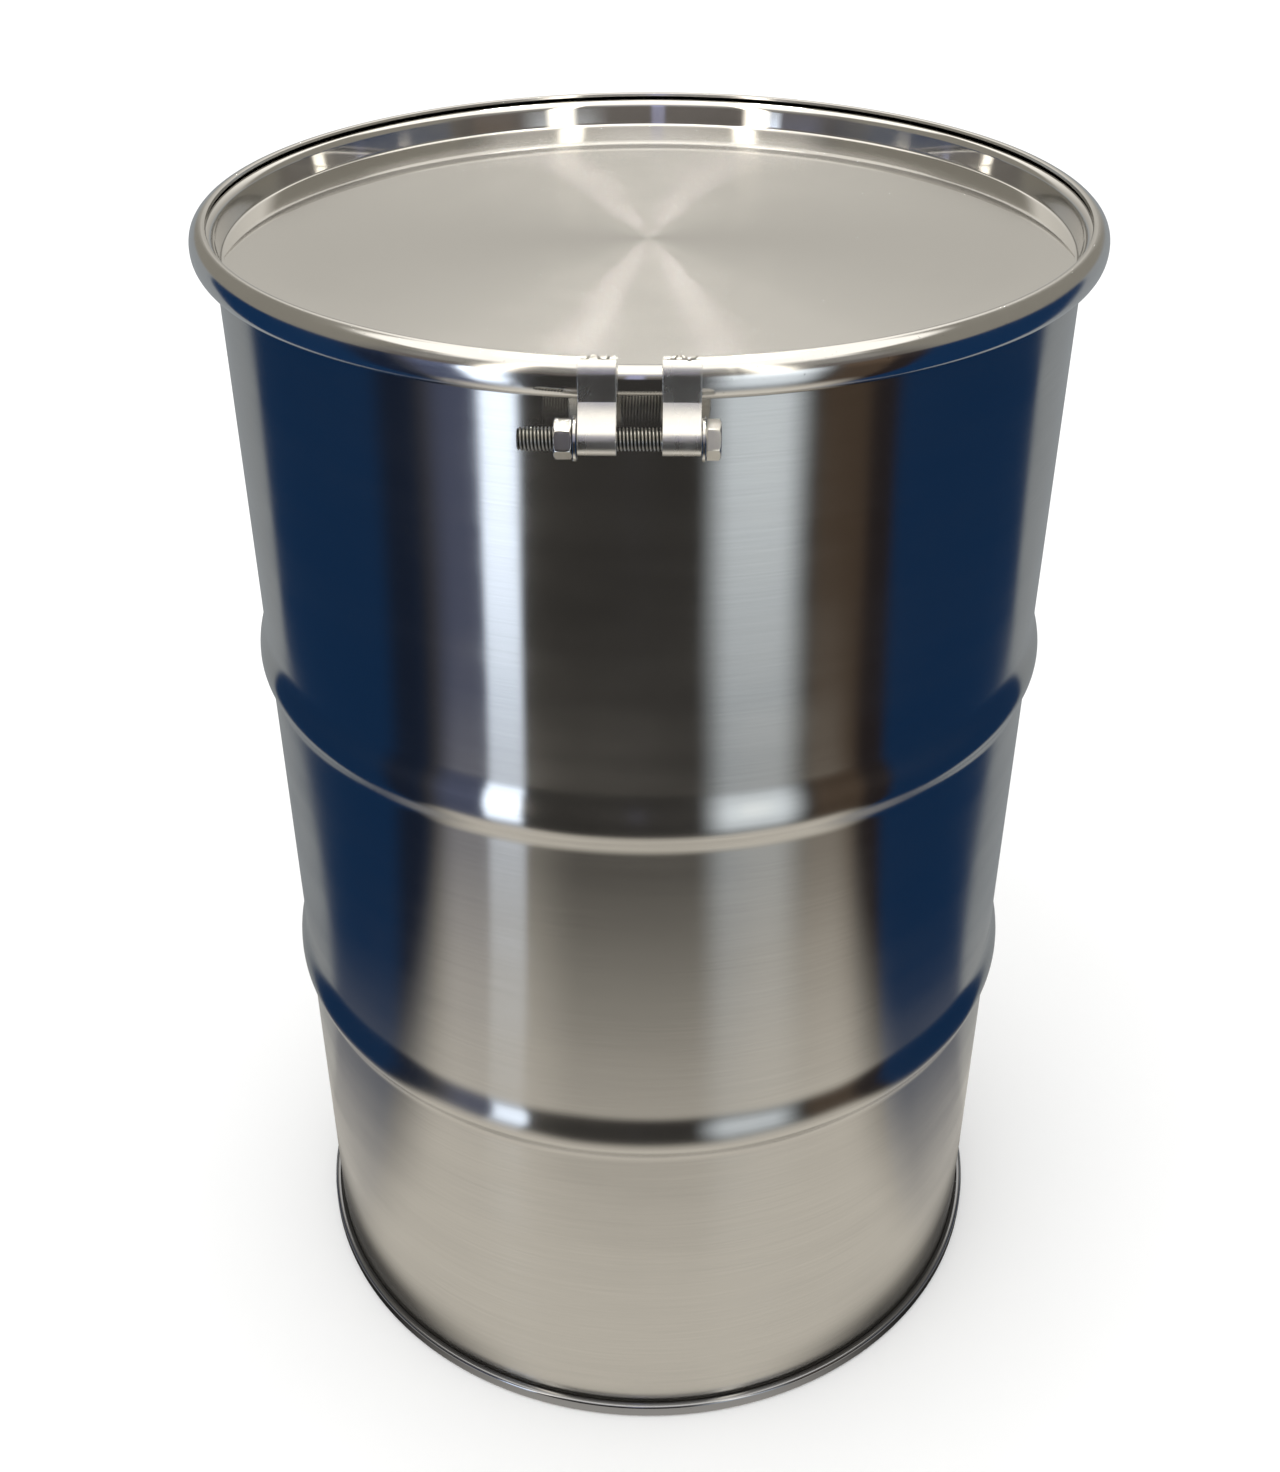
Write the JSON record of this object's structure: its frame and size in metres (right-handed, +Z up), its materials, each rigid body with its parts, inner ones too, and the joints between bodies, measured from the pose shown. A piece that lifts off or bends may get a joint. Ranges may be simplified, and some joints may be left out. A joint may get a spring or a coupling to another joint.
{
  "type": "open-head steel drum with bolted closure ring",
  "caption": "Tall cylindrical stainless steel open-head drum with rolled hoops, a recessed lid with gasket, and a split closure ring drawn tight by a bolt through two lugs.",
  "frame": {"origin": "on the floor at the middle of the footprint box; the bolt makes the box deeper at the front, so the drum's own axis stands 10.75 mm behind it, at y = 0.01075", "axes": "+Z up along the drum's axis, -Y towards the closure bolt, +X to the right seen from the bolt's side, along the bolt towards its head"},
  "size_m": [0.603, 0.6244, 0.9023],
  "materials": {
    "brushed_stainless": "brushed, satin",
    "lid_stainless": "circular brushed, satin",
    "polished_stainless": "bright",
    "fastener_steel": "plated, satin",
    "gasket_rubber": "matt",
    "seam_compound": "matt"
  },
  "bodies": {
    "drum": {"shell": "brushed_stainless", "bottom_head": "brushed_stainless", "seam_compound": "seam_compound"},
    "lid": {"lid": "lid_stainless", "lid_gasket": "gasket_rubber"},
    "ring": {"closure_ring": "polished_stainless"},
    "left_end": {"lug_left": "polished_stainless"},
    "right_end": {"lug_right": "polished_stainless"},
    "bolt": {"closure_bolt": "fastener_steel", "bolt_washer": "fastener_steel"},
    "nut_washer": {"nut_washer": "fastener_steel"},
    "nut": {"closure_nut": "fastener_steel"}
  },
  "joints": [
    {"name": "lid_lift", "type": "slide", "parent": "drum", "child": "lid", "axis": [0, 0, 1], "range_m": [0, 0.35]},
    {"name": "ring_lift", "type": "slide", "parent": "lid", "child": "ring", "axis": [0, 0, 1], "range_m": [0, 0.2]},
    {"name": "ring_open_right", "type": "slide", "parent": "ring", "child": "right_end", "axis": [1, 0, 0], "range_m": [0, 0.0075], "deforming": ["closure_ring"]},
    {"name": "ring_open_left", "type": "slide", "parent": "ring", "child": "left_end", "axis": [-1, 0, 0], "range_m": [0, 0.0075]},
    {"name": "bolt_turn", "type": "hinge", "parent": "right_end", "child": "bolt", "pos_m": [0, -0.30025, 0.8618], "axis": [1, 0, 0], "continuous": true},
    {"name": "nut_run", "type": "slide", "parent": "bolt", "child": "nut_washer", "axis": [-1, 0, 0], "range_m": [0, 0.015]},
    {"name": "nut_turn", "type": "hinge", "parent": "nut_washer", "child": "nut", "pos_m": [0, -0.30025, 0.8618], "axis": [-1, 0, 0], "range_deg": [0, 2763.8]}
  ],
  "couplings": [
    {"joint": "nut_turn", "follows": "nut_run", "rad_per_m": 3215.8},
    {"joint": "ring_open_right", "follows": "nut_run", "ratio": 0.5},
    {"joint": "ring_open_left", "follows": "nut_run", "ratio": 0.5}
  ]
}
